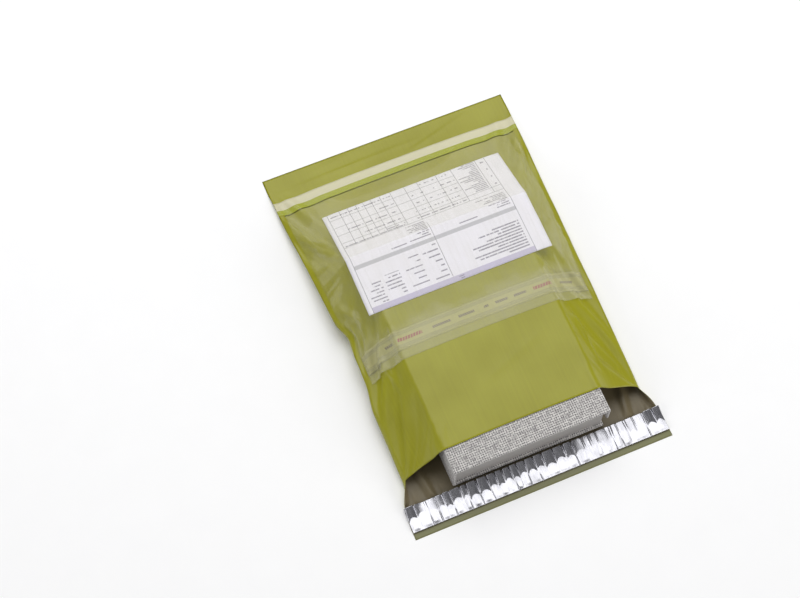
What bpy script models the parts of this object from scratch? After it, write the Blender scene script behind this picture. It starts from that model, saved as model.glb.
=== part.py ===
"""Poly mailer bag: a folded and side-welded film mailer with a clear pocket, holding a cloth-covered book.

The bag lies on its back panel. +X runs across the bag, +Y towards its closed end and +Z up, and the
origin is the middle of the bag's bounding box, on the surface that it lies on. "Down" in the names below
is the distance from the closed end, measured along the bag towards its lip.
"""
import bmesh
import bpy

MM = 0.001

# The bag, laid flat
BAG_WIDTH = 290 * MM
BAG_LENGTH = 440 * MM
MOUTH_DOWN = 379 * MM
FOLD_DEPTH = 5 * MM
WELD_WIDTH = 6 * MM

# Films and papers are thicker here than the real ones, so that each stays a sound solid
FILM = 0.4 * MM
CLEAR_FILM = 0.3 * MM
STRIP = 0.3 * MM
PAPER = 0.6 * MM
GAP = 0.4 * MM

# The book in the bag
BOOK_LEFT = -88 * MM
BOOK_WIDTH = 174 * MM
BOOK_LENGTH = 259 * MM
BOOK_THICK = 45 * MM
BOOK_FAR_DOWN = 144 * MM
BOARD = 3 * MM
BOARD_OVERHANG = 3.5 * MM
FORE_EDGE_FLAP = 22 * MM
BOOK_BEVEL = 0.8 * MM

# The clear pocket on the front panel and what it holds
POCKET_FAR_DOWN = 31 * MM
POCKET_WELD_DOWN = 50 * MM
POCKET_NEAR_DOWN = 276 * MM
POCKET_STRIP_FAR_DOWN = 244 * MM
POCKET_STRIP_NEAR_DOWN = 266 * MM
SHEET_LEFT = -102 * MM
SHEET_WIDTH = 210 * MM
SHEET_FAR_DOWN = 74 * MM
SHEET_NEAR_DOWN = 212 * MM

# The closing strip on the lip
CLOSURE_FAR_DOWN = 406 * MM
CLOSURE_NEAR_DOWN = 433 * MM

# How the film stands over the book
DRAPE_START_DOWN = 60 * MM
DRAPE_POWER = 1.6
LEFT_SEAM_DRAW = 9 * MM
RIGHT_SEAM_DRAW = 8 * MM
SEAM_LIFT = 17 * MM
FLAT_PAST_BOOK = 8 * MM

BOOK_BASE = FILM + GAP
BOOK_TOP = BOOK_BASE + BOOK_THICK
BOOK_RIGHT = BOOK_LEFT + BOOK_WIDTH
EDGE_CLEARANCE = 1.0 * MM
DRAPE_LEFT = BOOK_LEFT - EDGE_CLEARANCE
DRAPE_RIGHT = BOOK_RIGHT + EDGE_CLEARANCE
DRAPE_FAR_DOWN = BOOK_FAR_DOWN - EDGE_CLEARANCE
SHEET_RIGHT = SHEET_LEFT + SHEET_WIDTH

# Every film and strip shares this grid, so that layers keep their gaps on slopes as well
ROWS = sorted([
    0.0, FOLD_DEPTH, POCKET_FAR_DOWN, POCKET_WELD_DOWN, DRAPE_START_DOWN, SHEET_FAR_DOWN,
    88 * MM, 102 * MM, 116 * MM, 130 * MM, DRAPE_FAR_DOWN, 160 * MM, 186 * MM, SHEET_NEAR_DOWN,
    POCKET_STRIP_FAR_DOWN, POCKET_STRIP_NEAR_DOWN, POCKET_NEAR_DOWN, 310 * MM, 345 * MM,
    MOUTH_DOWN, 392 * MM, CLOSURE_FAR_DOWN, CLOSURE_NEAR_DOWN, BAG_LENGTH,
])
MOUTH_ROW = ROWS.index(MOUTH_DOWN)
LAST_ROW = len(ROWS) - 1


def smooth(value, low, high):
    """0 below low, 1 above high, with a smooth rise between them."""
    t = min(max((value - low) / (high - low), 0.0), 1.0)
    return t * t * (3.0 - 2.0 * t)


def seam_x(side, down):
    """The side seams draw in beside the book, because the film has to climb over it."""
    if side < 0:
        draw = LEFT_SEAM_DRAW * smooth(down, 0.09, 0.20) * (1.0 - smooth(down, 0.30, 0.43))
    else:
        draw = RIGHT_SEAM_DRAW * smooth(down, 0.10, 0.19) * (1.0 - smooth(down, 0.385, 0.435))
    return side * (BAG_WIDTH / 2 - draw)


def seam_lift(down):
    """The seams hang clear of the surface beside the book and come down at both ends."""
    return SEAM_LIFT * smooth(down, 0.09, 0.19) * (1.0 - smooth(down, 0.33, MOUTH_DOWN))


def columns(down):
    """The X of each grid column at this distance down the bag."""
    left, right = seam_x(-1, down), seam_x(1, down)
    middle = (DRAPE_LEFT + DRAPE_RIGHT) / 2
    return [
        left, left + WELD_WIDTH, (left + WELD_WIDTH + SHEET_LEFT) / 2, SHEET_LEFT, DRAPE_LEFT,
        (DRAPE_LEFT + middle) / 2, middle, (middle + DRAPE_RIGHT) / 2,
        DRAPE_RIGHT, SHEET_RIGHT, (SHEET_RIGHT + right - WELD_WIDTH) / 2, right - WELD_WIDTH, right,
    ]


LAST_COLUMN = len(columns(0.0)) - 1
SHEET_COLUMNS = (3, 9)


def outside_book(x, down, start):
    """0 within the book and start past it, rising to 1 at the weld."""
    if x < 0:
        return max(0.0, (DRAPE_LEFT - start - x) / (DRAPE_LEFT - start - seam_x(-1, down) - WELD_WIDTH))
    return max(0.0, (x - DRAPE_RIGHT - start) / (seam_x(1, down) - WELD_WIDTH - DRAPE_RIGHT - start))


def back_top(x, down):
    """The upper face of the back panel: flat under the book, lifted towards the seams."""
    return FILM + seam_lift(down) * min(1.0, outside_book(x, down, FLAT_PAST_BOOK)) ** 2


def front_under(x, down):
    """The underside of the front panel: flat over the book, down to the seams and the closed end."""
    across = max(0.0, 1.0 - outside_book(x, down, 0.0))
    across *= 0.85 + 0.15 * across
    t = (down - DRAPE_START_DOWN) / (DRAPE_FAR_DOWN - DRAPE_START_DOWN)
    along = min(max(t, 0.0), 1.0) ** DRAPE_POWER
    low = back_top(x, down) + (GAP if across > 0.0 else 0.0)
    return low + (BOOK_TOP + GAP - low) * across * along


def material(name, color, roughness, metallic=0.0, alpha=1.0):
    made = bpy.data.materials.new(name)
    made.use_nodes = True
    shader = made.node_tree.nodes["Principled BSDF"]
    shader.inputs["Base Color"].default_value = (*color, 1.0)
    shader.inputs["Roughness"].default_value = roughness
    shader.inputs["Metallic"].default_value = metallic
    shader.inputs["Alpha"].default_value = alpha
    made.diffuse_color = (*color, alpha)
    return made


def add_object(name, mesh_build, look):
    """Turn a bmesh into a named object with one material."""
    mesh = bpy.data.meshes.new(name)
    bmesh.ops.recalc_face_normals(mesh_build, faces=mesh_build.faces)
    mesh_build.to_mesh(mesh)
    mesh_build.free()
    mesh.materials.append(look)
    thing = bpy.data.objects.new(name, mesh)
    bpy.context.collection.objects.link(thing)
    return thing


def grid_vertices(build, height, column_range, row_range):
    """One vertex for each grid point of the two ranges, at the height that the function gives."""
    made = {}
    for row in range(row_range[0], row_range[1] + 1):
        down = ROWS[row]
        across = columns(down)
        for column in range(column_range[0], column_range[1] + 1):
            x = across[column]
            made[column, row] = build.verts.new((x, BAG_LENGTH / 2 - down, height(x, down)))
    return made


def grid_faces(build, points, column_range, row_range):
    """Two triangles for each cell, split the same way in every layer and mirrored left to right."""
    for row in range(row_range[0], row_range[1]):
        for column in range(column_range[0], column_range[1]):
            corner = points[column, row]
            beside = points[column + 1, row]
            below = points[column, row + 1]
            across = points[column + 1, row + 1]
            if column < LAST_COLUMN // 2:
                build.faces.new((corner, beside, across))
                build.faces.new((corner, across, below))
            else:
                build.faces.new((corner, beside, below))
                build.faces.new((beside, across, below))


def wall(build, upper, lower, keys):
    """A strip of quads between two layers along a run of grid points."""
    for first, second in zip(keys, keys[1:]):
        build.faces.new((upper[first], upper[second], lower[second], lower[first]))


def layer(name, look, offset, thickness, column_range, row_range):
    """A thin sheet that follows the front panel at a height above its upper face."""
    def under(x, down):
        return front_under(x, down) + FILM + offset

    def over(x, down):
        return under(x, down) + thickness

    return slab(name, look, under, over, column_range, row_range)


def slab(name, look, under, over, column_range, row_range):
    """A closed sheet between two height functions on the shared grid."""
    build = bmesh.new()
    lower = grid_vertices(build, under, column_range, row_range)
    upper = grid_vertices(build, over, column_range, row_range)
    grid_faces(build, lower, column_range, row_range)
    grid_faces(build, upper, column_range, row_range)
    first_column, last_column = column_range
    first_row, last_row = row_range
    for row in row_range:
        wall(build, upper, lower, [(column, row) for column in range(first_column, last_column + 1)])
    for column in column_range:
        wall(build, upper, lower, [(column, row) for row in range(first_row, last_row + 1)])
    return add_object(name, build, look)


def make_bag_film(look):
    """The mailer: back panel with lip, front panel, folded closed end and welded sides, as one skin."""
    build = bmesh.new()
    inner_columns = (1, LAST_COLUMN - 1)
    inner_rows = (1, MOUTH_ROW)
    all_columns = (0, LAST_COLUMN)
    lip_rows = (MOUTH_ROW, LAST_ROW)

    bottom = grid_vertices(build, lambda x, down: back_top(x, down) - FILM, all_columns, (0, LAST_ROW))
    top = grid_vertices(build, lambda x, down: front_under(x, down) + FILM, all_columns, (0, MOUTH_ROW))
    back = grid_vertices(build, back_top, inner_columns, inner_rows)
    for column in (0, LAST_COLUMN):
        back.update(grid_vertices(build, back_top, (column, column), (MOUTH_ROW, MOUTH_ROW)))
    back.update(grid_vertices(build, back_top, all_columns, (MOUTH_ROW + 1, LAST_ROW)))

    front = grid_vertices(build, front_under, (2, LAST_COLUMN - 2), (2, MOUTH_ROW))
    for row in range(1, MOUTH_ROW + 1):
        for column in range(1, LAST_COLUMN):
            if row == 1 or column in inner_columns:
                front[column, row] = back[column, row]

    grid_faces(build, bottom, all_columns, (0, LAST_ROW))
    grid_faces(build, top, all_columns, (0, MOUTH_ROW))
    grid_faces(build, back, inner_columns, inner_rows)
    grid_faces(build, front, inner_columns, inner_rows)
    grid_faces(build, back, all_columns, lip_rows)

    # Closed end, lip end, mouth edge and sides
    wall(build, top, bottom, [(column, 0) for column in range(LAST_COLUMN + 1)])
    wall(build, back, bottom, [(column, LAST_ROW) for column in range(LAST_COLUMN + 1)])
    front[0, MOUTH_ROW] = back[0, MOUTH_ROW]
    front[LAST_COLUMN, MOUTH_ROW] = back[LAST_COLUMN, MOUTH_ROW]
    wall(build, top, front, [(column, MOUTH_ROW) for column in range(LAST_COLUMN + 1)])
    for column in (0, LAST_COLUMN):
        wall(build, top, bottom, [(column, row) for row in range(MOUTH_ROW)])
        wall(build, back, bottom, [(column, row) for row in range(MOUTH_ROW, LAST_ROW + 1)])
        before, mouth = (column, MOUTH_ROW - 1), (column, MOUTH_ROW)
        build.faces.new((top[before], top[mouth], back[mouth], bottom[mouth], bottom[before]))
    return add_object("bag_film", build, look)


def make_pocket(clear, paper, liner, adhesive):
    """The clear pocket, the folded sheet in it, and the strip that keeps its mouth from sticking."""
    everything = (1, LAST_COLUMN - 1)
    strip_rows = (ROWS.index(POCKET_STRIP_FAR_DOWN), ROWS.index(POCKET_STRIP_NEAR_DOWN))
    sheet_rows = (ROWS.index(SHEET_FAR_DOWN), ROWS.index(SHEET_NEAR_DOWN))
    pocket_rows = (ROWS.index(POCKET_FAR_DOWN), ROWS.index(POCKET_NEAR_DOWN))
    layer("packing_list", paper, GAP, PAPER, SHEET_COLUMNS, sheet_rows)
    layer("pocket_liner", liner, GAP, STRIP, everything, strip_rows)
    layer("pocket_adhesive", adhesive, GAP + STRIP + GAP, STRIP, everything, strip_rows)
    layer("pocket_film", clear, 2 * (STRIP + GAP) + GAP, CLEAR_FILM, (0, LAST_COLUMN), pocket_rows)


def make_closure(silver, adhesive):
    """The closing strip across the lip: an adhesive band under its silver release liner."""
    def at_height(base):
        return lambda x, down: FILM + base

    rows = (ROWS.index(CLOSURE_FAR_DOWN), ROWS.index(CLOSURE_NEAR_DOWN))
    inner = (1, LAST_COLUMN - 1)
    slab("closure_adhesive", adhesive, at_height(GAP), at_height(GAP + STRIP), inner, rows)
    above = 2 * GAP + STRIP
    slab("closure_liner", silver, at_height(above), at_height(above + STRIP), (0, LAST_COLUMN), rows)


def extrude_profile(name, look, profile, front_y, back_y):
    """A closed X-Z outline run along Y, with softened edges."""
    build = bmesh.new()
    outline = [build.verts.new((x, front_y, z)) for x, z in profile]
    face = build.faces.new(outline)
    swept = bmesh.ops.extrude_face_region(build, geom=[face])
    moved = [item for item in swept["geom"] if isinstance(item, bmesh.types.BMVert)]
    bmesh.ops.translate(build, verts=moved, vec=(0.0, back_y - front_y, 0.0))
    thing = add_object(name, build, look)
    bevel = thing.modifiers.new("Soft edges", 'BEVEL')
    bevel.width = BOOK_BEVEL
    bevel.segments = 2
    return thing


def make_book(cloth, block_look):
    """Cloth-covered boards: back, spine, front and a short flap down the fore edge, around a block."""
    far_y = BAG_LENGTH / 2 - BOOK_FAR_DOWN
    near_y = far_y - BOOK_LENGTH
    inner_right = BOOK_RIGHT - BOARD
    case = [
        (BOOK_LEFT, BOOK_BASE), (inner_right, BOOK_BASE), (inner_right, BOOK_BASE + BOARD),
        (BOOK_LEFT + BOARD, BOOK_BASE + BOARD), (BOOK_LEFT + BOARD, BOOK_TOP - BOARD),
        (inner_right, BOOK_TOP - BOARD), (inner_right, BOOK_TOP - FORE_EDGE_FLAP),
        (BOOK_RIGHT, BOOK_TOP - FORE_EDGE_FLAP), (BOOK_RIGHT, BOOK_TOP), (BOOK_LEFT, BOOK_TOP),
    ]
    extrude_profile("book_case", cloth, case, near_y, far_y)
    low, high = BOOK_BASE + BOARD + GAP, BOOK_TOP - BOARD - GAP
    left, right = BOOK_LEFT + BOARD + GAP, inner_right - 5 * GAP
    block = [(left, low), (right, low), (right, high), (left, high)]
    extrude_profile("book_block", block_look, block, near_y + BOARD_OVERHANG, far_y - BOARD_OVERHANG)


def main():
    for old in list(bpy.data.objects):
        bpy.data.objects.remove(old, do_unlink=True)
    green = material("green_film", (0.34, 0.33, 0.06), 0.4)
    clear = material("clear_film", (0.85, 0.85, 0.82), 0.2, alpha=0.25)
    paper = material("paper", (0.85, 0.84, 0.88), 0.6)
    liner = material("release_liner", (0.55, 0.54, 0.38), 0.45)
    glue = material("adhesive", (0.75, 0.72, 0.55), 0.3)
    silver = material("silver_film", (0.75, 0.75, 0.78), 0.25, metallic=1.0)
    cloth = material("book_cloth", (0.50, 0.48, 0.45), 0.9)
    block = material("book_block", (0.35, 0.33, 0.31), 0.7)
    make_bag_film(green)
    make_pocket(clear, paper, liner, glue)
    make_closure(silver, glue)
    make_book(cloth, block)


main()
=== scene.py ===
import math

import bmesh
import bpy
import numpy as np
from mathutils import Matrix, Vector


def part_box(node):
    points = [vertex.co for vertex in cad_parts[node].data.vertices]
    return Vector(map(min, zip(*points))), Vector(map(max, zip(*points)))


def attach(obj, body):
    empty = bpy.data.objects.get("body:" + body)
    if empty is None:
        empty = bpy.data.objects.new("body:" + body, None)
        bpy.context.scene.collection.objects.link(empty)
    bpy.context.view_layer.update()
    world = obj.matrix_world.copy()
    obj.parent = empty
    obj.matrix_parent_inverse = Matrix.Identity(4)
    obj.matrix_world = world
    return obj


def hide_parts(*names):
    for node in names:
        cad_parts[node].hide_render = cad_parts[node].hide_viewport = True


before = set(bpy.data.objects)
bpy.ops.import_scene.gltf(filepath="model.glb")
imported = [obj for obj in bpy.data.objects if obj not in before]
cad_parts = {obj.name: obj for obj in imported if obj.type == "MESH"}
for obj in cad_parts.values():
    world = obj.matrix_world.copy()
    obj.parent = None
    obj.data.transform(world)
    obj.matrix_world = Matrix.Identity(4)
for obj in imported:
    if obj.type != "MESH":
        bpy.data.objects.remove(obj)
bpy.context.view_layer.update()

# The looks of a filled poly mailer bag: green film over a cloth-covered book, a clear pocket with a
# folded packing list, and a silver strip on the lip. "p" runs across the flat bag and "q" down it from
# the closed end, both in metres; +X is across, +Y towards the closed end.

MM = 0.001
RNG = np.random.default_rng(7)

# ---------------------------------------------------------------------------------------------
# Sizes, read from the frame
# ---------------------------------------------------------------------------------------------
BAG_LOW, BAG_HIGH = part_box("bag_film")
BOOK_LOW, BOOK_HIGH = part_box("book_case")
SHEET_LOW, SHEET_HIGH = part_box("packing_list")
POCKET_LOW, POCKET_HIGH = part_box("pocket_film")
LINER_LOW, LINER_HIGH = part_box("pocket_liner")
CLOSURE_LOW, CLOSURE_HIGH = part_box("closure_liner")

BAG_WIDTH = BAG_HIGH.x - BAG_LOW.x
BAG_LENGTH = BAG_HIGH.y - BAG_LOW.y
MOUTH_DOWN = 379 * MM
BOARD = 3 * MM
FORE_EDGE_FLAP = 22 * MM

STEP = 4 * MM                # spacing of the first, coarse film grid
REFINEMENTS = 1
FILM_THICK = 0.16 * MM
CLEAR_THICK = 0.10 * MM
STRIP_THICK = 0.12 * MM
PAPER_THICK = 0.30 * MM
FILM_CLEAR = 1.0 * MM        # air between the book and the film's middle surface
FLOOR_CLEAR = 0.15 * MM
POCKET_INSET = 6 * MM        # plain film outside the pocket's side welds
BEADS = ((246 * MM, 250 * MM), (260 * MM, 264 * MM))    # the pocket's two lines of adhesive
LIP_FLAT = 405 * MM          # from here on the lip lies flat under its strip
PANEL_GAP = 0.30 * MM        # least air between the front and the back panel
WELD_FAR, WELD_MIDDLE, WELD_NEAR = 32 * MM, 43 * MM, 50.5 * MM    # the pocket's welded band
SEAM_DRAW = 9 * MM           # how far the side seams are drawn in at the start
SEAM_LIFT = 17 * MM          # how high they stand off the floor at the start
ROUNDS = (110, 45)           # rounds of relaxation on the coarse and on the fine grid
FALL = (3.2e-6, 1.0e-6)      # how far a free point falls in one round, in metres
LIP_TONE = (1.432, 1.4345)   # where the lip changes tone; the back panel's flat places start at 1


def down_of(y):
    """Distance from the closed end of a place on the row's Y axis."""
    return BAG_HIGH.y - y


def smooth(value, low, high):
    """A soft step from 0 at low to 1 at high."""
    t = np.clip((value - low) / (high - low), 0.0, 1.0)
    return t * t * (3.0 - 2.0 * t)


# ---------------------------------------------------------------------------------------------
# Film: a position-based simulation of thin sheet on a regular grid
# ---------------------------------------------------------------------------------------------
class Grid:
    """The flat film: a front panel and a longer back panel that share their side and end edges."""

    def __init__(self, step):
        self.columns = int(round(BAG_WIDTH / step)) + 1
        self.rows = int(round(BAG_LENGTH / step)) + 1
        self.front_rows = int(round(MOUTH_DOWN / (BAG_LENGTH / (self.rows - 1)))) + 1
        across = np.linspace(-BAG_WIDTH / 2, BAG_WIDTH / 2, self.columns)
        down = np.linspace(0.0, BAG_LENGTH, self.rows)
        self.p, self.q = np.meshgrid(across, down, indexing="ij")
        self.back = np.arange(self.columns * self.rows).reshape(self.columns, self.rows)
        self.front = np.full((self.columns, self.front_rows), -1)
        self.front[0], self.front[-1] = self.back[0, :self.front_rows], self.back[-1, :self.front_rows]
        self.front[:, 0] = self.back[:, 0]
        free = self.front < 0
        self.front[free] = self.back.size + np.arange(free.sum())
        self.count = self.back.size + int(free.sum())
        self.front_only = free


def links(ids, p, q, stretch, bend):
    """Distance constraints of one panel, in groups whose links share no point."""
    flat = np.stack([p, q], axis=-1)
    across, down = ids.shape
    groups = []

    def add(step_i, step_j, start_i, start_j, stride_i, stride_j, strength):
        i, j = np.meshgrid(np.arange(start_i, across, stride_i),
                           np.arange(start_j, down, stride_j), indexing="ij")
        i, j = i.ravel(), j.ravel()
        inside = (i + step_i < across) & (j + step_j < down) & (j + step_j >= 0)
        i, j = i[inside], j[inside]
        first, second = ids[i, j], ids[i + step_i, j + step_j]
        length = np.linalg.norm(flat[i, j] - flat[i + step_i, j + step_j], axis=-1)
        groups.append((first, second, length, strength))

    for start in (0, 1):
        add(1, 0, start, 0, 2, 1, stretch)
        add(0, 1, 0, start, 1, 2, stretch)
        add(1, 1, start, 0, 2, 1, 0.6 * stretch)
        add(1, -1, start, 0, 2, 1, 0.6 * stretch)
    for start in range(4):
        add(2, 0, start, 0, 4, 1, bend)
        add(0, 2, 0, start, 1, 4, bend)
    return groups


def relax(points, groups, fixed, rounds, passes, gravity, collide, damping=0.9):
    """Let the film fall and pull itself straight for a number of rounds."""
    weight = np.where(fixed, 0.0, 1.0)
    home = points[fixed].copy()
    velocity = np.zeros_like(points)
    for _ in range(rounds):
        before = points.copy()
        points = points + velocity * damping
        points[:, 2] -= gravity * weight
        points[fixed] = home
        for _ in range(passes):
            for first, second, length, strength in groups:
                apart = points[second] - points[first]
                distance = np.sqrt((apart * apart).sum(axis=1)) + 1e-12
                share = np.maximum(weight[first] + weight[second], 1.0)
                pull = ((distance - length) / distance * strength / share)[:, None] * apart
                points[first] += pull * weight[first][:, None]
                points[second] -= pull * weight[second][:, None]
            collide(points)
        velocity = points - before
    return points


def start_shape(p, q, front):
    """The film before it is let go: over the book, down to lifted side seams and to the closed end."""
    book_far, book_near = down_of(BOOK_HIGH.y), MOUTH_DOWN
    seam = BAG_WIDTH / 2 - SEAM_DRAW * smooth(q, 0.05, 0.18) * (1 - smooth(q, 0.36, 0.43))
    lift = SEAM_LIFT * smooth(q, 0.06, 0.18) * (1 - smooth(q, 0.29, book_near + 0.02))
    edge = np.where(p < 0, -BOOK_LOW.x, BOOK_HIGH.x) + 1.2 * MM
    size = np.abs(p)
    t = np.clip((size - edge) / (BAG_WIDTH / 2 - edge), 0.0, 1.0)
    x = np.where(size <= edge, size, edge + (seam - edge) * t) * np.sign(p)
    y = BAG_HIGH.y - q
    if not front:
        return np.stack([x, y, FLOOR_CLEAR + lift * t * t], axis=-1)
    along = np.clip((q - 0.058) / (book_far - 1.5 * MM - 0.058), 0.0, 1.0) ** 1.35
    low = 1.0 * MM + lift * t
    return np.stack([x, y, low + (BOOK_HIGH.z + FILM_CLEAR - low) * (1 - t) * along], axis=-1)


def push_off_book(points, which):
    """Points inside the book go out through its nearest face, and none goes below the floor."""
    np.maximum(points[:, 2], FLOOR_CLEAR, out=points[:, 2])
    x, y, z = points[:, 0], points[:, 1], points[:, 2]
    left, right = BOOK_LOW.x - FILM_CLEAR, BOOK_HIGH.x + FILM_CLEAR
    far, top = BOOK_HIGH.y + FILM_CLEAR, BOOK_HIGH.z + FILM_CLEAR
    inside = np.where(which & (x > left) & (x < right) & (y < far) & (z < top) & (y > BOOK_LOW.y))[0]
    if not len(inside):
        return
    depth = np.stack([x[inside] - left, right - x[inside], far - y[inside], top - z[inside]], axis=1)
    side = depth.argmin(axis=1)
    points[inside[side == 0], 0] = left
    points[inside[side == 1], 0] = right
    points[inside[side == 2], 1] = far
    points[inside[side == 3], 2] = top


def refine(coarse, fine, points):
    """Carry a film from a coarse grid to a finer one with smooth interpolation."""
    result = np.zeros((fine.count, 3))

    def resample(values, shape):
        for axis, size in ((0, shape[0]), (1, shape[1])):
            values = np.moveaxis(values, axis, 0)
            at = np.linspace(0, values.shape[0] - 1, size)
            base = np.clip(at.astype(int), 0, values.shape[0] - 2)
            t = (at - base).reshape(-1, 1, 1)
            before = values[np.maximum(base - 1, 0)]
            after = values[np.minimum(base + 2, values.shape[0] - 1)]
            one, two = values[base], values[base + 1]
            values = 0.5 * (2 * one + (two - before) * t
                            + (2 * before - 5 * one + 4 * two - after) * t ** 2
                            + (3 * one - before - 3 * two + after) * t ** 3)
            values = np.moveaxis(values, 0, axis)
        return values

    result[fine.front.ravel()] = resample(points[coarse.front], fine.front.shape).reshape(-1, 3)
    result[fine.back.ravel()] = resample(points[coarse.back], fine.back.shape).reshape(-1, 3)
    return result


# Folds that handling left in the front panel: (p, q) in mm at both ends, then height and half width.
FOLDS = (
    ((-133, 186), (-116, 214), 2.8, 8.0), ((-116, 214), (-122, 243), 2.0, 7.0),
    ((-142, 56), (-131, 80), 2.0, 6.0), ((-131, 80), (-120, 122), 1.8, 7.0),
    ((-138, 100), (-118, 150), 1.4, 5.0),
    ((139, 136), (114, 182), 3.0, 7.0), ((138, 150), (128, 228), 2.6, 6.0), ((130, 84), (125, 146), 2.4, 6.0),
    ((137, 60), (118, 98), 1.2, 5.0),
    ((114, 232), (121, 275), 2.0, 4.5), ((102, 286), (108, 352), 2.4, 5.0),
    ((-116, 232), (-108, 300), 1.6, 6.0),
    ((-140, 22), (30, 18), 0.8, 4.0), ((20, 30), (110, 4), 0.8, 4.0), ((-100, 12), (-20, 2), 0.5, 5.0),
    ((-42, 366), (-22, 371), -1.3, 4.5), ((-20, 330), (60, 300), 0.4, 9.0),
)


def add_folds(points, grid):
    """Raise each fold along the front panel's normals, and pinch the left seam inwards."""
    surface = points[grid.front]
    p, q = grid.p[:, :grid.front_rows], grid.q[:, :grid.front_rows]
    height = np.zeros(p.shape)
    for (p0, q0), (p1, q1), tall, half in FOLDS:
        along = np.array([p1 - p0, q1 - q0], float) * MM
        length = np.hypot(*along)
        along /= length
        t = ((p - p0 * MM) * along[0] + (q - q0 * MM) * along[1]) / length
        away = (p - p0 * MM) * along[1] - (q - q0 * MM) * along[0]
        crest = np.maximum(0.0, 1.0 - np.abs(away) / (half * MM)) ** 1.5
        height += tall * MM * crest * smooth(t, -0.15, 0.25) * (1 - smooth(t, 0.75, 1.15))
    edge = np.minimum(BAG_WIDTH / 2 - np.abs(p), q) / (6 * MM)
    raised = sheet_points(surface, 1.0) - surface
    moved = surface + raised * (height * np.clip(edge, 0.0, 1.0))[..., None]
    points[grid.front[grid.front_only]] = moved[grid.front_only]
    for ids in (grid.front, grid.back):
        down, near_seam = grid.q[:, :ids.shape[1]], smooth(-grid.p[:, :ids.shape[1]], 0.108, 0.145)
        pinch = 7 * MM * np.exp(-((down - 0.217) / 0.012) ** 2)
        pinch += 4.5 * MM * smooth(down, 0.215, 0.235) * (1 - smooth(down, 0.270, 0.305))
        own = slice(1, -1) if ids is grid.front else slice(None)
        points[ids[own], 0] += (pinch * near_seam)[own]


def drape_bag():
    """The mailer over its book: a coarse relaxation, a finer one, and then the placed folds."""
    grid = Grid(STEP)
    points = np.zeros((grid.count, 3))
    points[grid.front] = start_shape(grid.p[:, :grid.front_rows], grid.q[:, :grid.front_rows], True)
    points[grid.back] = start_shape(grid.p, grid.q, False)
    for level in range(REFINEMENTS + 1):
        if level:
            finer = Grid(STEP / 2 ** level)
            points = refine(grid, finer, points)
            grid = finer
        front = np.zeros(grid.count, bool)
        front[grid.front[grid.front_only]] = True
        fixed = np.zeros(grid.count, bool)
        under = (np.abs(grid.p) < 0.080) & (grid.q > 0.150) | (grid.q > LIP_FLAT)
        fixed[grid.back[under | (grid.q < 0.013)]] = True
        p, q = grid.p, grid.q
        groups = links(grid.front, p[:, :grid.front_rows], q[:, :grid.front_rows], 1.0, 0.4)
        groups += links(grid.back, p, q, 1.0, 0.4)
        upper = grid.front[grid.front_only]
        lower = grid.back[:, :grid.front_rows][grid.front_only]

        def collide(moved):
            push_off_book(moved, front)
            moved[upper, 2] = np.maximum(moved[upper, 2], moved[lower, 2] + PANEL_GAP)

        points = relax(points, groups, fixed, ROUNDS[level], 3, FALL[level], collide)
    add_folds(points, grid)
    collide(points)
    return grid, points


# ---------------------------------------------------------------------------------------------
# Meshes
# ---------------------------------------------------------------------------------------------
def make_piece(name, vertices, faces, uvs=None):
    """A mesh object from vertices and faces; uvs holds one flat place for each vertex."""
    mesh = bpy.data.meshes.new(name)
    mesh.from_pydata([tuple(v) for v in vertices], [], [tuple(int(k) for k in f) for f in faces])
    mesh.update()
    if uvs is not None:
        layer = mesh.uv_layers.new(name="flat")
        corners = np.zeros(len(mesh.loops), int)
        mesh.loops.foreach_get("vertex_index", corners)
        layer.data.foreach_set("uv", np.asarray(uvs, np.float32)[corners].ravel())
    mesh.polygons.foreach_set("use_smooth", [True] * len(mesh.polygons))
    piece = bpy.data.objects.new(name, mesh)
    bpy.context.collection.objects.link(piece)
    return piece


def grid_quads(ids, upward=True):
    """The quads of a grid of vertex numbers whose rows run down the bag."""
    a, b = ids[:-1, :-1].ravel(), ids[1:, :-1].ravel()
    c, d = ids[1:, 1:].ravel(), ids[:-1, 1:].ravel()
    order = (a, d, c, b) if upward else (a, b, c, d)
    return np.stack(order, axis=-1)


def apply_modifiers(piece):
    """Replace the mesh by its evaluated form, so that no modifier is left."""
    bpy.context.view_layer.update()
    evaluated = piece.evaluated_get(bpy.context.evaluated_depsgraph_get())
    mesh = bpy.data.meshes.new_from_object(evaluated)
    piece.modifiers.clear()
    piece.data = mesh
    return piece


def thicken(piece, thickness, subdivisions=0, inner_slot=0):
    """Give a sheet its thickness; inner_slot is the material of the side away from its normals."""
    if subdivisions:
        finer = piece.modifiers.new("Finer", 'SUBSURF')
        finer.levels = finer.render_levels = subdivisions
        finer.use_limit_surface = False
    solid = piece.modifiers.new("Thickness", 'SOLIDIFY')
    solid.thickness = thickness
    solid.offset = 0.0
    solid.material_offset = inner_slot
    return apply_modifiers(piece)


def sheet_points(surface, lift):
    """A copy of a grid surface moved along its normals."""
    across = np.gradient(surface, axis=0)
    down = np.gradient(surface, axis=1)
    normal = np.cross(down, across)
    normal /= np.linalg.norm(normal, axis=-1, keepdims=True) + 1e-12
    return surface + normal * lift


def put_on(piece, slot_name, *nodes):
    """The piece rides with the bag and stands for its CAD nodes, which it hides."""
    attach(piece, "root")
    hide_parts(*nodes)
    return piece


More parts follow.
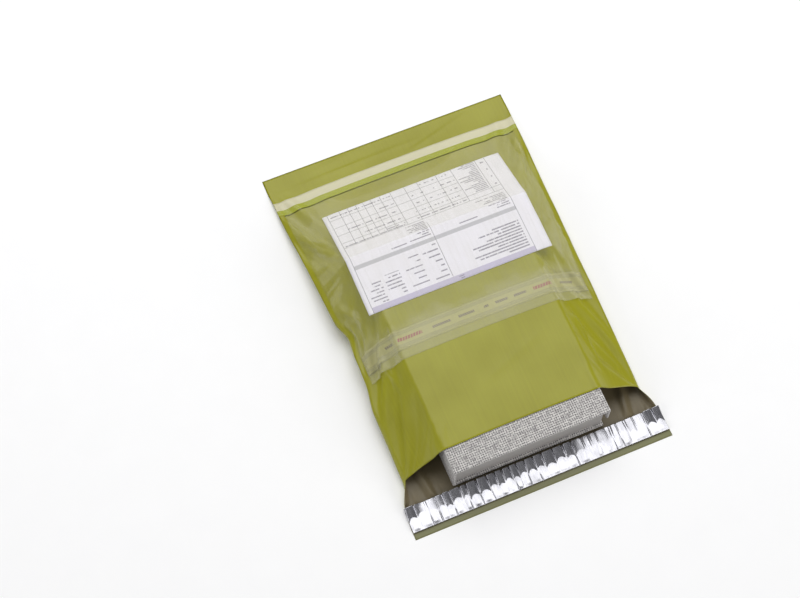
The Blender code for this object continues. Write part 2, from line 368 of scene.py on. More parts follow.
# ---------------------------------------------------------------------------------------------
# Materials
# ---------------------------------------------------------------------------------------------
class Nodes:
    """Short forms for the shader nodes used here; every method returns an output socket."""

    def __init__(self, name):
        self.material = bpy.data.materials.new(name)
        self.material.use_nodes = True
        self.tree = self.material.node_tree
        self.shader = self.tree.nodes["Principled BSDF"]

    def node(self, kind, **settings):
        made = self.tree.nodes.new(kind)
        for key, value in settings.items():
            setattr(made, key, value)
        return made

    def feed(self, socket, value):
        if isinstance(value, bpy.types.NodeSocket):
            self.tree.links.new(value, socket)
        else:
            socket.default_value = value

    def math(self, operation, first, second=0.0, third=0.0):
        made = self.node("ShaderNodeMath", operation=operation)
        for socket, value in zip(made.inputs, (first, second, third)):
            self.feed(socket, value)
        return made.outputs[0]

    def multiply(self, *values):
        result = values[0]
        for value in values[1:]:
            result = self.math('MULTIPLY', result, value)
        return result

    def most(self, values):
        """The largest of many values; a generator keeps few of them alive at once."""
        result = 0.0
        for value in values:
            result = self.math('MAXIMUM', result, value)
        return result

    def flat(self):
        """The flat place of a point on its sheet, in metres, as (p, q)."""
        uv = self.node("ShaderNodeUVMap", uv_map="flat")
        split = self.node("ShaderNodeSeparateXYZ")
        self.tree.links.new(uv.outputs[0], split.inputs[0])
        return split.outputs[0], split.outputs[1]

    def place(self):
        return self.node("ShaderNodeTexCoord").outputs["Object"]

    def vector(self, x, y, z=0.0):
        made = self.node("ShaderNodeCombineXYZ")
        for socket, value in zip(made.inputs, (x, y, z)):
            self.feed(socket, value)
        return made.outputs[0]

    def scaled(self, vector, scale):
        made = self.node("ShaderNodeMapping", vector_type='POINT')
        self.feed(made.inputs["Vector"], vector)
        made.inputs["Scale"].default_value = scale
        return made.outputs[0]

    def noise(self, vector, scale, detail=2.0, rough=0.5):
        made = self.node("ShaderNodeTexNoise")
        self.feed(made.inputs["Vector"], vector)
        made.inputs["Scale"].default_value = scale
        made.inputs["Detail"].default_value = detail
        made.inputs["Roughness"].default_value = rough
        return made.outputs["Fac"]

    def span(self, value, low, high, new_low=0.0, new_high=1.0):
        """Map low..high to new_low..new_high, held at both ends."""
        made = self.node("ShaderNodeMapRange", clamp=True)
        for socket, item in zip(made.inputs, (value, low, high, new_low, new_high)):
            self.feed(socket, item)
        return made.outputs[0]

    def between(self, value, low, high):
        """1 where value lies between low and high, else 0."""
        return self.math('COMPARE', value, (low + high) / 2, (high - low) / 2)

    def mix(self, factor, first, second):
        made = self.node("ShaderNodeMix", data_type='RGBA')
        self.feed(made.inputs["Factor"], factor)
        self.feed(made.inputs["A"], first if isinstance(first, bpy.types.NodeSocket) else (*first, 1.0))
        self.feed(made.inputs["B"], second if isinstance(second, bpy.types.NodeSocket) else (*second, 1.0))
        return made.outputs["Result"]

    def bump(self, height, distance, strength=1.0):
        made = self.node("ShaderNodeBump")
        made.inputs["Strength"].default_value = strength
        made.inputs["Distance"].default_value = distance
        self.feed(made.inputs["Height"], height)
        self.feed(self.shader.inputs["Normal"], made.outputs[0])

    def set(self, **values):
        for key, value in values.items():
            if isinstance(value, tuple) and len(value) == 3:
                value = (*value, 1.0)
            self.feed(self.shader.inputs[key.replace("_", " ")], value)
        return self.material


def film_material(name, pale, deep, rough, lip=None):
    """Blown film: soft colour clouds, fine draw lines down the bag and a satin, uneven gloss."""
    n = Nodes(name)
    p, q = n.flat()
    clouds = n.noise(n.vector(p, q), 14.0, 4.0)
    streaks = n.noise(n.vector(n.multiply(p, 420.0), n.multiply(q, 9.0)), 1.0, 3.0)
    color = n.mix(n.span(clouds, 0.30, 0.72), deep, pale)
    color = n.mix(n.span(streaks, 0.35, 0.8, 0.0, 0.22), color, tuple(min(1.0, 1.25 * c) for c in pale))
    if lip is not None:
        color = n.mix(n.span(q, *LIP_TONE), color, lip)
    skin = n.noise(n.place(), 900.0, 2.0)
    dimples = n.noise(n.vector(p, q), 60.0, 3.0)
    coarse = n.math('ADD', n.multiply(streaks, 0.5), n.multiply(dimples, 1.4))
    height = n.math('ADD', n.multiply(skin, 0.25), coarse)
    n.bump(height, 0.25 * MM, 0.35)
    n.set(Base_Color=color, Roughness=n.span(clouds, 0.3, 0.7, rough + 0.05, rough - 0.04))
    n.shader.inputs["IOR"].default_value = 1.5
    n.shader.inputs["Specular IOR Level"].default_value = 0.40
    n.shader.inputs["Coat Weight"].default_value = 0.05
    n.shader.inputs["Coat Roughness"].default_value = 0.30
    return n.material


def clear_material():
    """Clear film: mostly open, milkier in the welded band and near its open end, with a painted shadow line
    along the weld's near edge and a glossy face.
    """
    n = Nodes("clear_film")
    p, q = n.flat()
    haze = n.noise(n.vector(p, q), 22.0, 4.0)
    streaks = n.noise(n.vector(n.multiply(p, 300.0), n.multiply(q, 12.0)), 1.0, 2.0)
    wander = n.math('ADD', q, n.span(haze, 0.3, 0.7, -9 * MM, 9 * MM))
    band = n.between(q, WELD_FAR, WELD_MIDDLE)
    weld = n.between(q, WELD_MIDDLE, WELD_NEAR)
    # painted shadow: a thin dark line just past the weld, where the pocket film lifts away from the bag
    weld_edge_shadow = n.between(q, WELD_NEAR, WELD_NEAR + 1.3 * MM)
    milky_end = n.span(wander, 0.232, 0.243, 0.0, 0.08)
    alpha = n.math('ADD', n.span(haze, 0.3, 0.75, 0.02, 0.06), n.span(streaks, 0.4, 0.8, 0.0, 0.03))
    alpha = n.math('ADD', alpha, milky_end)
    alpha = n.most((alpha, n.multiply(band, 0.42), n.multiply(weld, 0.22), n.multiply(weld_edge_shadow, 0.45)))
    facing = n.node("ShaderNodeLayerWeight")
    facing.inputs["Blend"].default_value = 0.30
    alpha = n.math('ADD', alpha, n.multiply(facing.outputs["Fresnel"], 0.14))
    height = n.math('ADD', n.multiply(streaks, 0.5), n.noise(n.vector(p, q), 75.0, 3.0))
    n.bump(height, 0.25 * MM, 0.35)
    color = n.mix(haze, (0.68, 0.66, 0.42), (0.80, 0.78, 0.58))
    color = n.mix(band, color, (0.88, 0.84, 0.62))
    color = n.mix(weld, color, (0.60, 0.66, 0.10))
    # the painted shadow line at the weld's near edge
    color = n.mix(weld_edge_shadow, color, (0.09, 0.09, 0.01))
    n.set(Base_Color=color, Alpha=alpha, Roughness=n.span(haze, 0.3, 0.7, 0.16, 0.26))
    n.shader.inputs["IOR"].default_value = 1.5
    return n.material


def marks(n, s, t, low, high, middle, tall, pitch, lean):
    """A run of slanted bars: short strokes at one pitch between two places."""
    shifted = n.math('ADD', s, n.multiply(t, lean))
    saw = n.math('PINGPONG', shifted, pitch / 2)
    strokes = n.span(saw, pitch * 0.09, pitch * 0.17)
    return n.multiply(strokes, n.between(s, low, high), n.between(t, middle - tall / 2, middle + tall / 2))


def liner_material():
    """Release strip in the film's own hazy green, with a row of small red and grey strokes."""
    n = Nodes("release_liner")
    p, q = n.flat()
    middle = (down_of(LINER_LOW.y) + down_of(LINER_HIGH.y)) / 2
    red_runs = [(-86, -58), (68, 91)]
    grey_runs = [(-104, -94), (-46, -26), (-17, 1), (12, 17), (25, 39), (46, 60), (104, 122)]
    red = n.most(marks(n, p, q, low * MM, high * MM, middle, 3.8 * MM, 3.0 * MM, 0.35)
                 for low, high in red_runs)
    grey = n.most(marks(n, p, q, low * MM, high * MM, middle, 2.8 * MM, 2.3 * MM, -0.25)
                  for low, high in grey_runs)
    clouds = n.noise(n.vector(p, q), 45.0, 3.0)
    color = n.mix(clouds, (0.335, 0.320, 0.085), (0.400, 0.380, 0.135))
    color = n.mix(n.multiply(grey, 0.95), color, (0.07, 0.03, 0.04))
    color = n.mix(red, color, (0.26, 0.0, 0.025))
    n.bump(clouds, 0.2 * MM, 0.4)
    return n.set(Base_Color=color, Roughness=n.span(clouds, 0.3, 0.7, 0.35, 0.50))


def text_block(n, s, t, box, pitch, tall, fill, seed):
    """Lines of broken dashes that read as small print; box is (left, right, near, far) in mm.

    Every line ends at the box's right side, and starts at a place of its own.
    """
    left, right, near, far = (side * MM for side in box)
    above = n.math('DIVIDE', n.math('SUBTRACT', t, near), pitch * MM)
    line = n.math('FLOOR', above)
    stroke = n.math('LESS_THAN', n.math('FRACT', above), tall / pitch)
    words = n.noise(n.vector(n.multiply(s, 330.0), n.multiply(line, 7.31), seed), 1.0, 1.0)
    start = n.noise(n.vector(0.5, n.multiply(line, 3.7), seed + 9.0), 1.0, 0.0)
    letters = n.noise(n.vector(n.multiply(s, 1700.0), n.multiply(line, 5.1), seed), 1.0, 1.0)
    started = n.math('GREATER_THAN', s, n.span(start, 0.3, 0.7, left, left + 0.75 * (right - left)))
    ink = n.multiply(n.math('GREATER_THAN', words, 0.62 - 0.32 * fill),
                     n.span(letters, 0.35, 0.6, 0.55, 1.0), started)
    return n.multiply(ink, stroke, n.between(s, left, right), n.between(t, near, far))


def paper_material():
    """White sheet with ruled table, grey bars and dashes for print. s runs across, t from the near edge."""
    n = Nodes("paper")
    s, t = n.flat()
    frame_left, frame_right, centre = 5.6 * MM, 192 * MM, 98.3 * MM
    table_near = 87 * MM
    rule = 0.28 * MM
    columns = [19.7, 29.6, 39, 47.6, 56.6, 67, 79.6, 96.3, 111.6, 133.8, 152, 181]
    long_rows, short_rows = [0, 8], [21, 34, 47, 60]

    def rules_at(value, places, start=0.0):
        return n.most(n.between(value, start + at * MM - rule, start + at * MM + rule) for at in places)

    rules = n.multiply(rules_at(s, columns), n.between(t, table_near, 0.2))
    rules = n.most((
        rules,
        n.multiply(rules_at(t, long_rows, table_near), n.between(s, frame_left, frame_right)),
        n.multiply(rules_at(t, short_rows, table_near), n.between(s, frame_left, 152 * MM)),
        rules_at(s, [5.6, 192]),
        n.multiply(rules_at(s, [98.3]), n.between(t, 7 * MM, 80 * MM)),
    ))

    # box in mm, line pitch, height of a stroke, share of the line that is inked, seed
    blocks = [
        ((154, 179, 97, 148), 2.7, 1.3, 0.9, 1.0), ((183, 189, 98, 148), 13.0, 2.2, 0.9, 2.0),
        ((8, 78, 99, 148), 13.0, 1.7, 0.45, 3.0), ((8, 78, 88, 94), 2.9, 1.5, 0.6, 4.0),
        ((82, 150, 100, 148), 13.0, 1.7, 0.35, 5.0), ((82, 150, 90, 93), 3.2, 1.7, 0.5, 6.0),
        ((72, 96, 61, 85), 2.7, 1.3, 0.85, 7.0), ((150, 189, 62, 83), 2.7, 1.3, 0.7, 8.0),
        ((40, 68, 60.5, 62.5), 2.8, 1.3, 0.9, 9.0), ((116, 150, 60.5, 62.5), 2.8, 1.3, 0.9, 10.0),
        ((30, 48, 10, 36), 4.2, 1.5, 0.75, 11.0), ((9, 26, 8, 34), 3.8, 1.4, 0.8, 12.0),
        ((52, 74, 12, 50), 6.4, 1.4, 0.8, 13.0), ((78, 96, 10, 52), 6.4, 1.6, 0.95, 14.0),
        ((128, 188, 9, 43), 3.4, 1.6, 0.85, 15.0), ((92, 110, 1.5, 5.5), 2.4, 1.0, 0.9, 16.0),
    ]
    print_ink = n.most(text_block(n, s, t, *block) for block in blocks)
    across = n.between(s, frame_left, frame_right)
    near_bar = n.multiply(n.between(t, 0.3 * MM, 6.6 * MM), across)
    middle_bar = n.multiply(n.between(t, 53 * MM, 57.6 * MM), across)
    hatch = n.span(n.math('PINGPONG', n.math('ADD', s, t), 0.5 * MM), 0.15 * MM, 0.35 * MM, 0.75, 1.0)

    fibre = n.noise(n.vector(s, t), 1400.0, 4.0)
    clouds = n.noise(n.vector(s, t), 25.0, 3.0)
    color = n.mix(clouds, (0.75, 0.735, 0.81), (0.80, 0.785, 0.85))
    color = n.mix(n.multiply(near_bar, 0.72), color, (0.42, 0.38, 0.55))
    color = n.mix(n.multiply(middle_bar, hatch, 0.72), color, (0.32, 0.32, 0.36))
    color = n.mix(n.multiply(rules, 0.75), color, (0.10, 0.10, 0.14))
    color = n.mix(n.multiply(print_ink, 0.80), color, (0.07, 0.06, 0.12))
    n.bump(fibre, 0.05 * MM, 0.3)
    return n.set(Base_Color=color, Roughness=n.span(fibre, 0.3, 0.7, 0.55, 0.70))


def silver_material():
    """Metallised film: bright, with a fine crush in the foil and small dull patches."""
    n = Nodes("silver_film")
    p, q = n.flat()
    patches = n.noise(n.vector(n.multiply(p, 95.0), n.multiply(q, 45.0)), 1.0, 3.0)
    fine = n.noise(n.vector(n.multiply(p, 520.0), n.multiply(q, 120.0)), 1.0, 3.0)
    height = n.math('ADD', patches, n.multiply(fine, 0.10))
    n.bump(height, 0.30 * MM, 0.30)
    color = n.mix(n.span(patches, 0.3, 0.7), (0.36, 0.36, 0.385), (0.46, 0.46, 0.49))
    n.set(Base_Color=color, Roughness=n.span(fine, 0.3, 0.7, 0.22, 0.32))
    n.shader.inputs["Metallic"].default_value = 1.0
    return n.material


def glue_material():
    """Clear hot-melt adhesive, slightly cloudy."""
    n = Nodes("adhesive")
    p, q = n.flat()
    clouds = n.noise(n.vector(p, q), 120.0, 3.0)
    n.bump(clouds, 0.2 * MM, 0.4)
    return n.set(Base_Color=n.mix(clouds, (0.46, 0.44, 0.22), (0.56, 0.54, 0.30)),
                 Roughness=n.span(clouds, 0.3, 0.7, 0.15, 0.35), Alpha=0.07)


def cloth_material():
    """Coarse open linen: warp and weft of uneven thickness in cream and grey, with dark gaps and a painted
    highlight on the slubs.
    """
    n = Nodes("book_cloth")
    u, v = n.flat()
    drift = 0.5 * MM
    wave_u = n.noise(n.vector(n.multiply(u, 25.0), n.multiply(v, 260.0)), 1.0, 2.0)
    wave_v = n.noise(n.vector(n.multiply(u, 260.0), n.multiply(v, 25.0), 3.0), 1.0, 2.0)
    drift_u = n.span(wave_u, 0.0, 1.0, -drift, drift)
    drift_v = n.span(wave_v, 0.0, 1.0, -drift, drift)
    pitch = 2.4 * MM
    warp = n.math('PINGPONG', n.math('ADD', u, drift_u), pitch / 2)
    weft = n.math('PINGPONG', n.math('ADD', v, drift_v), pitch / 2)
    warp_thread = n.span(warp, pitch * 0.05, pitch * 0.24)
    weft_thread = n.span(weft, pitch * 0.05, pitch * 0.24)
    over = n.noise(n.vector(n.multiply(u, 1 / pitch), n.multiply(v, 1 / pitch)), 1.0, 1.0)
    weave = n.most((n.multiply(warp_thread, n.span(over, 0.40, 0.60, 0.50, 1.0)),
                    n.multiply(weft_thread, n.span(over, 0.60, 0.40, 0.50, 1.0))))
    gaps = n.multiply(n.span(warp_thread, 0.0, 0.8, 1.0, 0.0), n.span(weft_thread, 0.0, 0.8, 1.0, 0.0))
    slub = n.noise(n.vector(n.multiply(u, 700.0), n.multiply(v, 700.0)), 1.0, 3.0)
    long_u = n.noise(n.vector(n.multiply(u, 90.0), n.multiply(v, 700.0)), 1.0, 2.0)
    long_v = n.noise(n.vector(n.multiply(u, 700.0), n.multiply(v, 90.0), 5.0), 1.0, 2.0)
    color = n.mix(n.span(weave, 0.35, 0.85), (0.080, 0.075, 0.080), (0.64, 0.62, 0.595))
    color = n.mix(n.span(long_u, 0.52, 0.64, 0.0, 0.60), color, (0.20, 0.19, 0.20))
    color = n.mix(n.span(long_v, 0.52, 0.64, 0.0, 0.55), color, (0.24, 0.22, 0.22))
    color = n.mix(n.multiply(gaps, n.span(slub, 0.30, 0.50)), color, (0.03, 0.028, 0.03))
    # painted highlight: the raised slubs are lightened as if they caught the light
    color = n.mix(n.span(slub, 0.58, 0.72, 0.0, 0.6), color, (0.76, 0.75, 0.73))
    height = n.math('ADD', weave, n.multiply(slub, 0.35))
    n.bump(height, 0.6 * MM, 0.9)
    n.set(Base_Color=color, Roughness=n.span(slub, 0.3, 0.7, 0.8, 0.95))
    n.shader.inputs["Sheen Weight"].default_value = 0.15
    return n.material


def block_material():
    """Grey covered block inside the boards: faint layer lines and a little scuffing."""
    n = Nodes("book_block")
    place = n.place()
    lines = n.noise(n.scaled(place, (3.0, 3.0, 900.0)), 1.0, 2.0)
    scuff = n.noise(place, 60.0, 4.0)
    color = n.mix(n.span(lines, 0.35, 0.65), (0.30, 0.285, 0.27), (0.36, 0.34, 0.325))
    color = n.mix(n.span(scuff, 0.5, 0.75, 0.0, 0.3), color, (0.38, 0.36, 0.35))
    n.bump(lines, 0.05 * MM, 0.3)
    return n.set(Base_Color=color, Roughness=n.span(scuff, 0.3, 0.7, 0.55, 0.75))


# ---------------------------------------------------------------------------------------------
# Pieces
# ---------------------------------------------------------------------------------------------
def make_bag(grid, points):
    """Front and back panel as one folded film, green outside and olive-brown inside."""
    faces = np.concatenate([grid_quads(grid.front), grid_quads(grid.back, upward=False)])
    uvs = np.zeros((grid.count, 2))
    uvs[grid.back] = np.stack([grid.p, grid.q + 1.0], axis=-1)
    uvs[grid.front] = np.stack([grid.p, grid.q], axis=-1)[:, :grid.front_rows]
    bag = make_piece("bag_film", points, faces, uvs)
    bag.data.materials.append(film_material("green_film", (0.285, 0.278, 0.006), (0.240, 0.230, 0.004), 0.40))
    bag.data.materials.append(film_material("film_inside", (0.142, 0.114, 0.060), (0.112, 0.088, 0.045), 0.46,
                                              lip=(0.165, 0.165, 0.070)))
    thicken(bag, FILM_THICK, 1 - REFINEMENTS, inner_slot=1)
    return put_on(bag, "green_film", "bag_film")


def surface_at(grid, points, down_low, down_high):
    """The front panel's grid between two distances from the closed end, with its flat places."""
    q = grid.q[0, :grid.front_rows]
    rows = np.where((q >= down_low - 1e-6) & (q <= down_high + 1e-6))[0]
    surface = points[grid.front][:, rows[0]:rows[-1] + 1]
    flat = np.stack([grid.p, grid.q], axis=-1)[:, rows[0]:rows[-1] + 1]
    return surface, flat


def sheet_piece(name, surface, flat, thickness, material, slot_name, subdivisions=0, keep=None):
    """A thin closed sheet that stands for the CAD node of its name; keep(p, q) is its outline."""
    ids = np.arange(surface.shape[0] * surface.shape[1]).reshape(surface.shape[:2])
    quads = grid_quads(ids)
    if keep is not None:
        middle = flat.reshape(-1, 2)[quads].mean(axis=1)
        quads = quads[keep(middle[:, 0], middle[:, 1])]
        used = np.unique(quads)
        quads = np.searchsorted(used, quads)
        surface, flat = surface.reshape(-1, 3)[used], flat.reshape(-1, 2)[used]
    piece = make_piece(name, surface.reshape(-1, 3), quads, flat.reshape(-1, 2))
    piece.data.materials.append(material)
    thicken(piece, thickness, subdivisions)
    return put_on(piece, slot_name, name)


def paper_profile(grid, points):
    """The side view of the folded sheet: flat on the book, bent over its far edge, down on the film."""
    near = down_of(SHEET_LOW.y)
    surface = points[grid.front]
    middle = np.abs(grid.p[:, 0]) < 0.09
    y = surface[middle][:, :, 1].mean(axis=0)
    z = surface[middle][:, :, 2].max(axis=0)
    top = BOOK_HIGH.z + FILM_CLEAR + 0.35 * MM
    bend_y = BOOK_HIGH.y - 4 * MM
    end_y = SHEET_HIGH.y
    end_z = float(np.interp(-end_y, -y, z)) + 0.6 * MM
    samples = np.linspace(BAG_HIGH.y - near, end_y, 240)
    slope = (end_z - top) / (end_y - bend_y)
    straight = np.where(samples < bend_y, top, top + slope * (samples - bend_y))
    radius = 9 * MM
    blend = np.clip((samples - bend_y + radius) / (2 * radius), 0.0, 1.0)
    rounded = top + slope * radius * blend ** 2
    height = np.where(blend < 1.0, rounded, straight)
    lift = np.interp(-samples, -y, z) + 0.5 * MM
    return samples, np.maximum(height, lift)


def make_sheet(grid, points, material):
    """The packing list as one closed sheet: bent by its profile, with a slight sag past the book."""
    samples, height = paper_profile(grid, points)
    steps = np.hypot(np.diff(samples), np.diff(height))
    length = np.concatenate([[0.0], np.cumsum(steps)])
    count_along, count_across = 90, 60
    t = np.linspace(0.0, length[-1], count_along)
    y, z = np.interp(t, length, samples), np.interp(t, length, height)
    width = SHEET_HIGH.x - SHEET_LOW.x
    s = np.linspace(0.0, width, count_across)
    s_grid, _ = np.meshgrid(s, t, indexing="ij")
    past_book = np.maximum(np.abs(SHEET_LOW.x + s_grid) - 89 * MM, 0.0) / (18 * MM)
    sag = 1.5 * MM * past_book ** 1.6
    surface = np.stack([SHEET_LOW.x + s_grid, np.broadcast_to(y, s_grid.shape),
                        np.broadcast_to(z, s_grid.shape) - sag], axis=-1)
    surface = surface[:, ::-1]
    flat = np.stack([s_grid, np.broadcast_to(t, s_grid.shape)], axis=-1)[:, ::-1]
    sheet_piece("packing_list", surface, flat, PAPER_THICK, material, "paper")
    return samples, height


def in_pocket(p, q, far):
    """Inside the pocket's side welds; the film past its far weld goes to the bag's edges."""
    return (np.abs(p) < BAG_WIDTH / 2 - POCKET_INSET) | (q < far)


def on_beads(p, q):
    """On one of the pocket's two lines of adhesive."""
    return np.any([(q > low) & (q < high) for low, high in BEADS], axis=0) & in_pocket(p, q, 0.0)


def drape_pocket(grid, points, sheet_profile):
    """The clear film: laid over the front panel and the sheet, slack enough to show its own folds."""
    below, flat = surface_at(grid, points, down_of(POCKET_HIGH.y), down_of(POCKET_LOW.y))
    samples, height = sheet_profile
    shape = below.shape[:2]
    ids = np.arange(shape[0] * shape[1]).reshape(shape)
    cover = sheet_points(below, 0.30 * MM)
    outward = (cover - below).reshape(-1, 3) / (0.30 * MM)
    fixed = np.zeros(shape, bool)
    fixed[~in_pocket(flat[..., 0], flat[..., 1], WELD_NEAR) | (flat[..., 1] < WELD_NEAR)] = True
    left, right = SHEET_LOW.x - 0.5 * MM, SHEET_HIGH.x + 0.5 * MM

    def keep_above(moved):
        on_sheet = (moved[:, 0] > left) & (moved[:, 0] < right)
        on_sheet &= (moved[:, 1] > samples[0] - 0.5 * MM) & (moved[:, 1] < samples[-1] + 0.5 * MM)
        low = np.where(on_sheet, np.interp(moved[:, 1], samples, height) + 0.45 * MM, 0.0)
        np.maximum(moved[:, 2], low, out=moved[:, 2])
        clear = ((moved - base) * outward).sum(axis=1)
        moved += outward * np.maximum(0.30 * MM - clear, 0.0)[:, None]

    base = below.reshape(-1, 3)
    start = cover.reshape(-1, 3).copy()
    keep_above(start)
    slack = 1.004
    groups = [(a, b, length * slack, strength)
              for a, b, length, strength in links(ids, flat[..., 0], flat[..., 1], 1.0, 0.3)]
    moved = relax(start, groups, fixed.ravel(), 60, 3, 1.5e-6, keep_above)
    return moved.reshape(*shape, 3), flat


def make_pocket(grid, points):
    """The packing list, the clear film over it, and the liner and adhesive at its open end."""
    profile = make_sheet(grid, points, paper_material())
    pocket, flat = drape_pocket(grid, points, profile)
    far, near = down_of(LINER_HIGH.y), down_of(LINER_LOW.y)
    finer = 1 - REFINEMENTS
    sheet_piece("pocket_film", sheet_points(pocket, 0.20 * MM), flat, CLEAR_THICK, clear_material(),
                "clear_film", finer, keep=lambda p, q: in_pocket(p, q, WELD_NEAR))
    sheet_piece("pocket_adhesive", sheet_points(pocket, 0.09 * MM), flat, 0.04 * MM, glue_material(),
                "adhesive", finer, keep=on_beads)
    sheet_piece("pocket_liner", pocket, flat, 0.08 * MM, liner_material(), "release_liner", finer,
                keep=lambda p, q: (q > far) & (q < near) & in_pocket(p, q, 0.0))


def lobes():
    """Uneven lobes across the strip, as (left, right) places."""
    places = [-BAG_WIDTH / 2 + 1 * MM]
    while places[-1] < BAG_WIDTH / 2 - 12 * MM:
        places.append(places[-1] + RNG.uniform(6.5, 12.5) * MM)
    places.append(BAG_WIDTH / 2 - 1 * MM)
    return list(zip(places[:-1], places[1:]))


def make_closure():
    """The silver strip: tipped tabs with flat grooves towards the book, shallow lobes at the lip's end."""
    far, near = down_of(CLOSURE_HIGH.y), down_of(CLOSURE_LOW.y)
    across = np.linspace(-BAG_WIDTH / 2 + 0.5 * MM, BAG_WIDTH / 2 - 0.5 * MM, 1000)
    down = np.linspace(far, near, 64)
    p, q = np.meshgrid(across, down, indexing="ij")
    t = (q - far) / (near - far)
    turn, grooves, dents, crown = (np.zeros_like(p) for _ in range(4))
    for left, right in lobes():
        middle, half = (left + right) / 2, (right - left) / 2
        place = (p - middle) / half
        inside = np.abs(place) <= 1.0
        top = RNG.uniform(0.34, 0.50)
        turn = np.where(inside, top + 0.16 * np.abs(place) ** 2.2, turn)
        crown += np.where(inside, RNG.uniform(0.10, 0.42) * MM * (1 - place ** 2), 0.0)
        width = RNG.uniform(0.7, 1.5) * MM
        lean = RNG.uniform(-2.0, 2.0) * MM
        grooves = np.maximum(grooves, np.exp(-((p - left - lean * t) / width) ** 4))
        if RNG.random() < 0.45:
            start = RNG.uniform(0.35, 0.6)
            slit = np.maximum(0.0, 1.0 - np.abs(p - left - lean * t) / (RNG.uniform(0.5, 1.0) * MM))
            dents = np.maximum(dents, slit * smooth(t, start, 0.95) * RNG.uniform(0.5, 1.0) * MM)
    slack = 0.15 * MM * np.sin(p / (2.1 * MM) + 2.2 * np.sin(p / (13 * MM)) + 3 * t)
    plain = smooth(p, -0.128, -0.085) * (1 - 0.75 * smooth(p, 0.035, 0.06)) + smooth(np.abs(p), 0.122, 0.134)
    tabs = 7.5 * MM * np.clip(turn - t, 0, 1) ** 1.05 * (1 - grooves) * np.clip(plain, 0.12, 1.0)
    body = 0.5 * MM + (crown + slack) * (0.25 + 0.75 * t) * (1 - smooth(t, 0.85, 1.0)) - dents
    z = CLOSURE_LOW.z + 0.15 * MM + np.maximum(tabs + body, 0.0)
    surface = np.stack([p, BAG_HIGH.y - q, z], axis=-1)
    flat = np.stack([p, q], axis=-1)
    sheet_piece("closure_liner", surface, flat, STRIP_THICK, silver_material(), "silver_film")
    glue = surface[12:-12:4, ::3].copy()
    glue[..., 2] = CLOSURE_LOW.z - 0.35 * MM
    sheet_piece("closure_adhesive", glue, flat[12:-12:4, ::3], 0.2 * MM, glue_material(), "adhesive")


def box_uv(piece):
    """Flat places in metres from the direction that each face looks."""
    mesh = piece.data
    layer = mesh.uv_layers.new(name="flat")
    for face in mesh.polygons:
        size = [abs(c) for c in face.normal]
        major = size.index(max(size))
        for loop in face.loop_indices:
            x, y, z = mesh.vertices[mesh.loops[loop].vertex_index].co
            layer.data[loop].uv = ((y, z), (x, z), (x, y))[major]


def make_book():
    """The cloth-covered boards with rounded edges, and the block inside them."""
    inner_right = BOOK_HIGH.x - BOARD
    low, high = BOOK_LOW.z, BOOK_HIGH.z
    outline = [
        (BOOK_LOW.x, low), (inner_right, low), (inner_right, low + BOARD), (BOOK_LOW.x + BOARD, low + BOARD),
        (BOOK_LOW.x + BOARD, high - BOARD), (inner_right, high - BOARD), (inner_right, high - FORE_EDGE_FLAP),
        (BOOK_HIGH.x, high - FORE_EDGE_FLAP), (BOOK_HIGH.x, high), (BOOK_LOW.x, high),
    ]
    build = bmesh.new()
    face = build.faces.new([build.verts.new((x, BOOK_LOW.y, z)) for x, z in outline])
    swept = bmesh.ops.extrude_face_region(build, geom=[face])
    moved = [item for item in swept["geom"] if isinstance(item, bmesh.types.BMVert)]
    bmesh.ops.translate(build, verts=moved, vec=(0.0, BOOK_HIGH.y - BOOK_LOW.y, 0.0))
    bmesh.ops.recalc_face_normals(build, faces=build.faces)
    mesh = bpy.data.meshes.new("book_case")
    build.to_mesh(mesh)
    build.free()
    case = bpy.data.objects.new("book_case_cloth", mesh)
    bpy.context.collection.objects.link(case)
    bevel = case.modifiers.new("Turned edges", 'BEVEL')
    bevel.width = 1.4 * MM
    bevel.segments = 4
    apply_modifiers(case)
    case.data.polygons.foreach_set("use_smooth", [True] * len(case.data.polygons))
    case.data.set_sharp_from_angle(angle=math.radians(50))
    box_uv(case)
    case.data.materials.append(cloth_material())
    put_on(case, "book_cloth", "book_case")
    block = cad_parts["book_block"]
    block.data.materials.clear()
    block.data.materials.append(block_material())


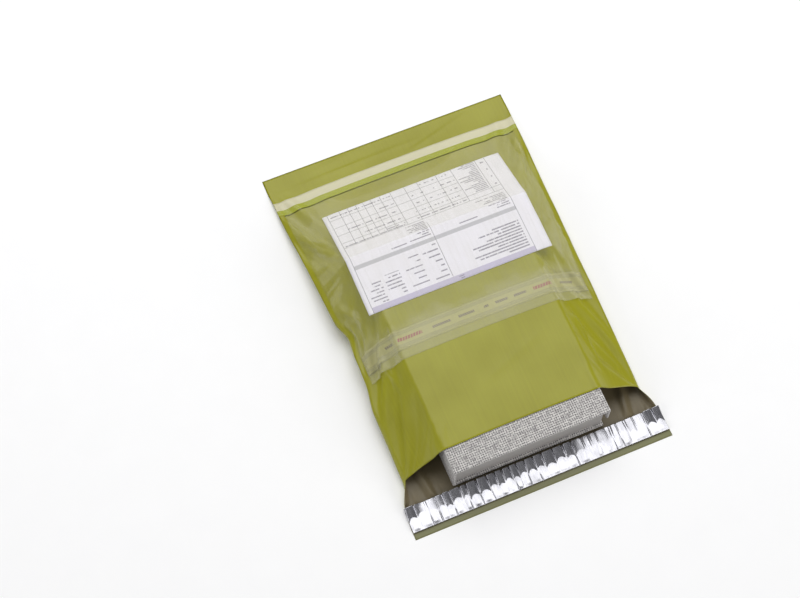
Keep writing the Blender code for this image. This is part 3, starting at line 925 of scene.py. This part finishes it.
# ---------------------------------------------------------------------------------------------
# Stage
# ---------------------------------------------------------------------------------------------
def make_camera():
    """Seen from the mouth end, a little from the left and from high above."""
    azimuth, elevation, distance = math.radians(-22.65), math.radians(67.4), 1.725
    back = Vector((math.sin(azimuth) * math.cos(elevation), -math.cos(azimuth) * math.cos(elevation),
                   math.sin(elevation)))
    target = Vector((-0.0577, 0.0311, 0.0))
    data = bpy.data.cameras.new("camera")
    data.lens, data.sensor_width = 72.0, 36.0
    camera = bpy.data.objects.new("camera", data)
    bpy.context.collection.objects.link(camera)
    camera.location = target + back * distance
    camera.rotation_euler = (-back).to_track_quat('-Z', 'Y').to_euler()
    bpy.context.scene.camera = camera


def add_light(name, place, size, power):
    """A white rectangular softbox that looks at the middle of the bag."""
    data = bpy.data.lights.new(name, 'AREA')
    data.shape = 'RECTANGLE'
    data.size, data.size_y = size
    data.energy = power
    lamp = bpy.data.objects.new(name, data)
    bpy.context.collection.objects.link(lamp)
    lamp.location = place
    lamp.rotation_euler = Vector(place).to_track_quat('Z', 'Y').to_euler()


def make_stage():
    """A pale floor under one large soft light beyond the closed end, with weaker fill around."""
    build = bmesh.new()
    bmesh.ops.create_grid(build, x_segments=1, y_segments=1, size=4.0)
    mesh = bpy.data.meshes.new("floor")
    build.to_mesh(mesh)
    build.free()
    floor = bpy.data.objects.new("floor", mesh)
    bpy.context.collection.objects.link(floor)
    n = Nodes("floor")
    grain = n.noise(n.place(), 30.0, 2.0)
    pale = n.mix(grain, (0.90, 0.90, 0.90), (0.92, 0.92, 0.92))
    mesh.materials.append(n.set(Base_Color=pale, Roughness=0.6))
    add_light("far_softbox", (0.30, 1.05, 1.95), (2.4, 2.4), 50.0)
    add_light("left_fill", (-2.2, -0.5, 1.0), (1.6, 1.2), 15.5)
    add_light("near_fill", (1.7, -1.9, 0.9), (1.8, 1.2), 34.0)
    world = bpy.data.worlds.new("studio")
    world.use_nodes = True
    world.node_tree.nodes["Background"].inputs["Color"].default_value = (0.9, 0.9, 0.92, 1.0)
    world.node_tree.nodes["Background"].inputs["Strength"].default_value = 0.24
    bpy.context.scene.world = world
    bpy.context.scene.view_settings.view_transform = 'Standard'


make_camera()
make_stage()
film_grid, film_points = drape_bag()
make_bag(film_grid, film_points)
make_pocket(film_grid, film_points)
make_closure()
make_book()
